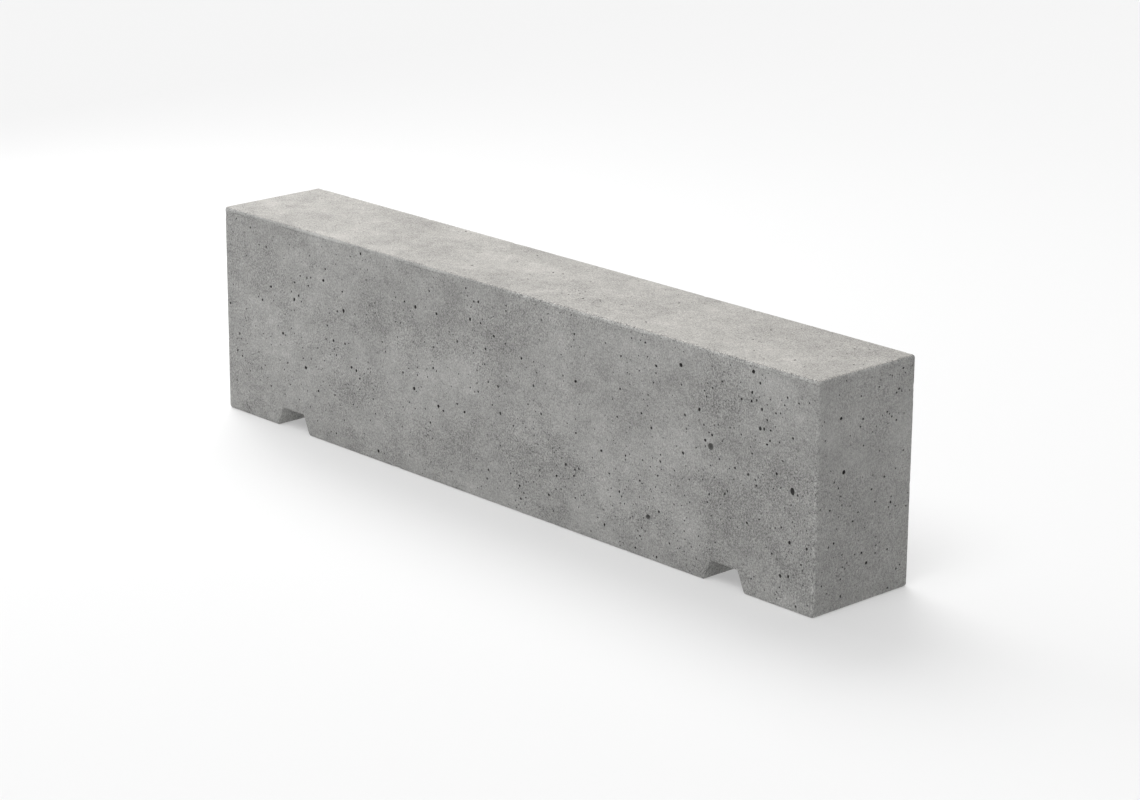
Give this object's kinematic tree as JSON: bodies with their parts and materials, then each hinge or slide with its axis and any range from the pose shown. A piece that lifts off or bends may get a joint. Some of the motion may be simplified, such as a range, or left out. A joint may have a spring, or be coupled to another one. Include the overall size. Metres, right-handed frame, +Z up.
{
  "type": "precast concrete barrier",
  "caption": "Straight precast concrete road barrier with upright faces, rounded arrises, trapezoid fork slots across its base and a steel cage cast inside.",
  "frame": {"origin": "centre of the base, at ground level", "axes": "+X along the barrier, towards its right end as seen from the front; +Y from the front face to the back face; +Z up"},
  "size_m": [3, 0.45, 0.78],
  "materials": {
    "concrete": "as-cast grey concrete, matt, cloudy, with small air holes",
    "reinforcing_steel": "hot-rolled ribbed bar with light rust",
    "mortar": "fine pale mortar, matt",
    "spacer_plastic": "moulded dark grey plastic"
  },
  "bodies": {
    "root": {"concrete_body": "concrete", "base_bar_back": "reinforcing_steel", "base_bar_front": "reinforcing_steel", "cover_block_01": "mortar", "cover_block_02": "mortar", "cover_block_03": "mortar", "cover_block_04": "mortar", "cover_block_05": "mortar", "cover_block_06": "mortar", "cover_block_07": "mortar", "cover_block_08": "mortar", "foot_bar_left_back": "reinforcing_steel", "foot_bar_left_front": "reinforcing_steel", "foot_bar_right_back": "reinforcing_steel", "foot_bar_right_front": "reinforcing_steel", "link_01": "reinforcing_steel", "link_02": "reinforcing_steel", "link_03": "reinforcing_steel", "link_04": "reinforcing_steel", "link_05": "reinforcing_steel", "link_06": "reinforcing_steel", "link_07": "reinforcing_steel", "link_08": "reinforcing_steel", "link_09": "reinforcing_steel", "link_10": "reinforcing_steel", "link_11": "reinforcing_steel", "link_12": "reinforcing_steel", "link_13": "reinforcing_steel", "link_14": "reinforcing_steel", "main_bar_back_1": "reinforcing_steel", "main_bar_back_2": "reinforcing_steel", "main_bar_back_3": "reinforcing_steel", "main_bar_back_4": "reinforcing_steel", "main_bar_front_1": "reinforcing_steel", "main_bar_front_2": "reinforcing_steel", "main_bar_front_3": "reinforcing_steel", "main_bar_front_4": "reinforcing_steel", "u_bar_left_1": "reinforcing_steel", "u_bar_left_2": "reinforcing_steel", "u_bar_left_3": "reinforcing_steel", "u_bar_right_1": "reinforcing_steel", "u_bar_right_2": "reinforcing_steel", "u_bar_right_3": "reinforcing_steel", "wheel_spacer_01": "spacer_plastic", "wheel_spacer_02": "spacer_plastic", "wheel_spacer_03": "spacer_plastic", "wheel_spacer_04": "spacer_plastic", "wheel_spacer_05": "spacer_plastic", "wheel_spacer_06": "spacer_plastic", "wheel_spacer_07": "spacer_plastic", "wheel_spacer_08": "spacer_plastic"}
  },
  "joints": []
}
